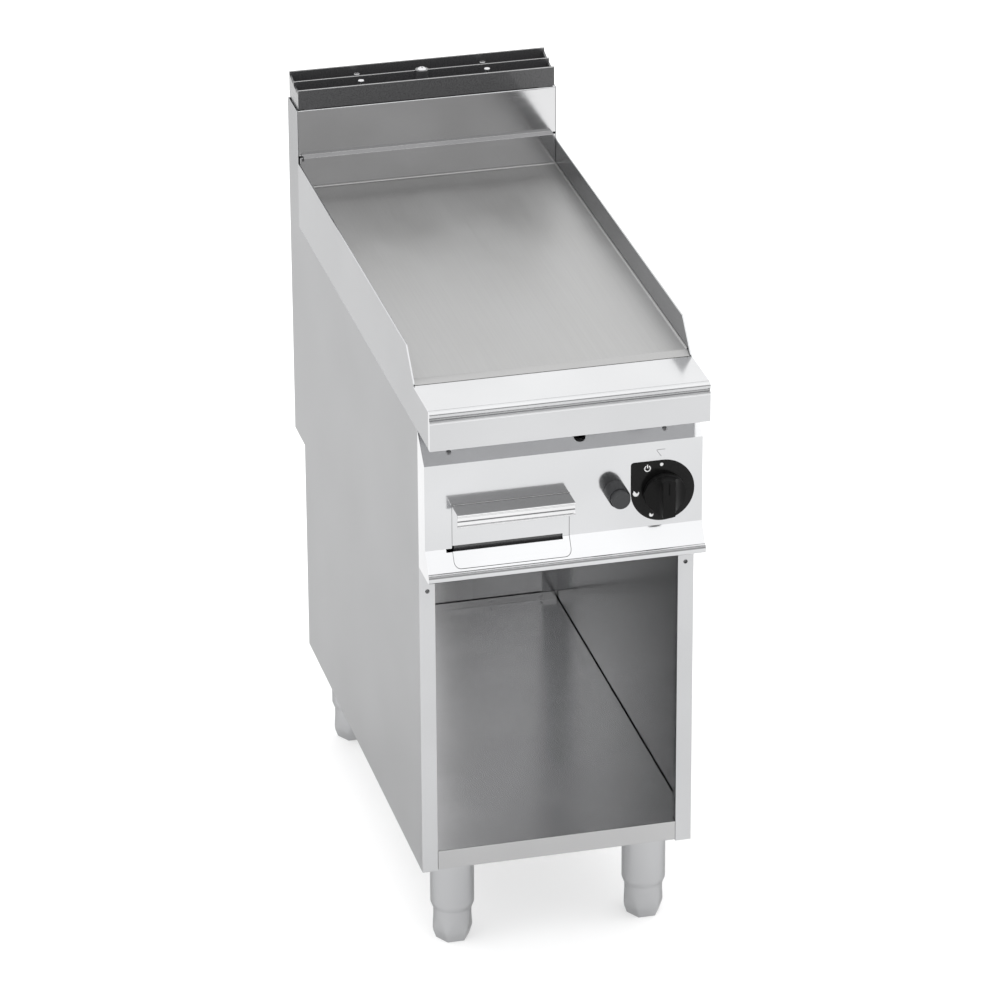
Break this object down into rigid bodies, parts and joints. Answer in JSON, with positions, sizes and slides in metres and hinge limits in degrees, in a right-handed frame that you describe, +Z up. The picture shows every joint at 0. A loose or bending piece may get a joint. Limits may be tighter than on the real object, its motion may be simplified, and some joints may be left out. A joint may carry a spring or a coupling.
{
  "type": "flat top griddle",
  "caption": "Free-standing gas griddle: smooth plate with side guards and rear flue over a control panel with grease drawer, and an open stainless cabinet on levelling feet.",
  "frame": {"origin": "on the floor, under the middle of the bounding box", "axes": "+Z up, +Y from the operator towards the flue at the rear, +X to the operator's right"},
  "size_m": [0.4, 0.9, 1.064],
  "materials": {
    "stainless": "fine satin, outer sheet",
    "inner_stainless": "semi-gloss, inner sheet",
    "griddle_steel": "ground, satin",
    "galvanised": "zinc coated",
    "black_enamel": "black enamelled",
    "cast_iron": "bare",
    "cast_aluminium": "as cast",
    "gloss_black": "gloss",
    "grey_plastic": "semi-matt",
    "brass": "turned",
    "pipe_metal": "drawn tube",
    "ceramic": "glazed ceramic",
    "lead_rubber": "high-voltage lead sheath",
    "screw_steel": "plated"
  },
  "bodies": {
    "cabinet": {"side_panel_left": "stainless", "side_panel_right": "stainless", "splash_guard_left": "stainless", "splash_guard_right": "stainless", "rear_cover": "stainless", "control_panel": "stainless", "worktop_front": "stainless", "leg_sleeve_front_left": "stainless", "leg_sleeve_front_right": "stainless", "leg_sleeve_rear_left": "stainless", "leg_sleeve_rear_right": "stainless", "compartment_ceiling": "inner_stainless", "rear_panel": "inner_stainless", "bottom_shelf": "inner_stainless", "rear_splash": "inner_stainless", "flue_front_panel": "inner_stainless", "griddle_plate": "griddle_steel", "support_rail_left": "galvanised", "support_rail_right": "galvanised", "drawer_runner_left": "galvanised", "drawer_runner_right": "galvanised", "flue_duct": "galvanised", "flue_cross_bar": "galvanised", "firebox": "galvanised", "grease_gutter": "galvanised", "drain_chute": "galvanised", "base_channel_front": "galvanised", "base_channel_rear": "galvanised", "flue_grill": "black_enamel", "burner_tube_left": "cast_iron", "burner_tube_right": "cast_iron", "pilot_burner": "cast_iron", "gas_valve_body": "cast_aluminium", "knob_escutcheon": "gloss_black", "piezo_body": "grey_plastic", "gas_injector_left": "brass", "gas_injector_right": "brass", "gas_inlet_fitting": "brass", "burner_rail": "pipe_metal", "gas_supply_pipe": "pipe_metal", "pilot_pipe": "pipe_metal", "thermocouple": "pipe_metal", "spark_electrode": "ceramic", "ignition_lead": "lead_rubber", "stile_screw_left": "screw_steel", "stile_screw_right": "screw_steel", "band_screw_left": "screw_steel", "band_screw_right": "screw_steel", "grill_screw": "screw_steel"},
    "drawer": {"drawer_front": "stainless", "drawer_handle": "stainless", "grease_tray": "inner_stainless"},
    "push_rod": {"valve_push_rod": "brass"},
    "knob": {"control_knob": "gloss_black", "valve_stem": "brass"},
    "igniter": {"igniter_button": "grey_plastic"},
    "foot_front_left": {"leg_foot_front_left": "stainless"},
    "foot_front_right": {"leg_foot_front_right": "stainless"},
    "foot_rear_left": {"leg_foot_rear_left": "stainless"},
    "foot_rear_right": {"leg_foot_rear_right": "stainless"}
  },
  "joints": [
    {"name": "drawer_slide", "type": "slide", "parent": "cabinet", "child": "drawer", "axis": [0, -1, 0], "range_m": [0, 0.38]},
    {"name": "knob_push", "type": "slide", "parent": "cabinet", "child": "push_rod", "axis": [0, 1, 0], "range_m": [0, 0.003], "stiffness_N_per_m": 800, "springref_m": -0.004},
    {"name": "knob_turn", "type": "hinge", "parent": "push_rod", "child": "knob", "pos_m": [0.142, -0.43, 0.7235], "axis": [0, -1, 0], "range_deg": [0, 160]},
    {"name": "igniter_push", "type": "slide", "parent": "cabinet", "child": "igniter", "axis": [0, 1, 0], "range_m": [0, 0.007], "stiffness_N_per_m": 600, "springref_m": -0.004},
    {"name": "foot_front_left_adjust", "type": "slide", "parent": "cabinet", "child": "foot_front_left", "axis": [0, 0, -1], "range_m": [0, 0.025]},
    {"name": "foot_front_right_adjust", "type": "slide", "parent": "cabinet", "child": "foot_front_right", "axis": [0, 0, -1], "range_m": [0, 0.025]},
    {"name": "foot_rear_left_adjust", "type": "slide", "parent": "cabinet", "child": "foot_rear_left", "axis": [0, 0, -1], "range_m": [0, 0.025]},
    {"name": "foot_rear_right_adjust", "type": "slide", "parent": "cabinet", "child": "foot_rear_right", "axis": [0, 0, -1], "range_m": [0, 0.025]}
  ]
}
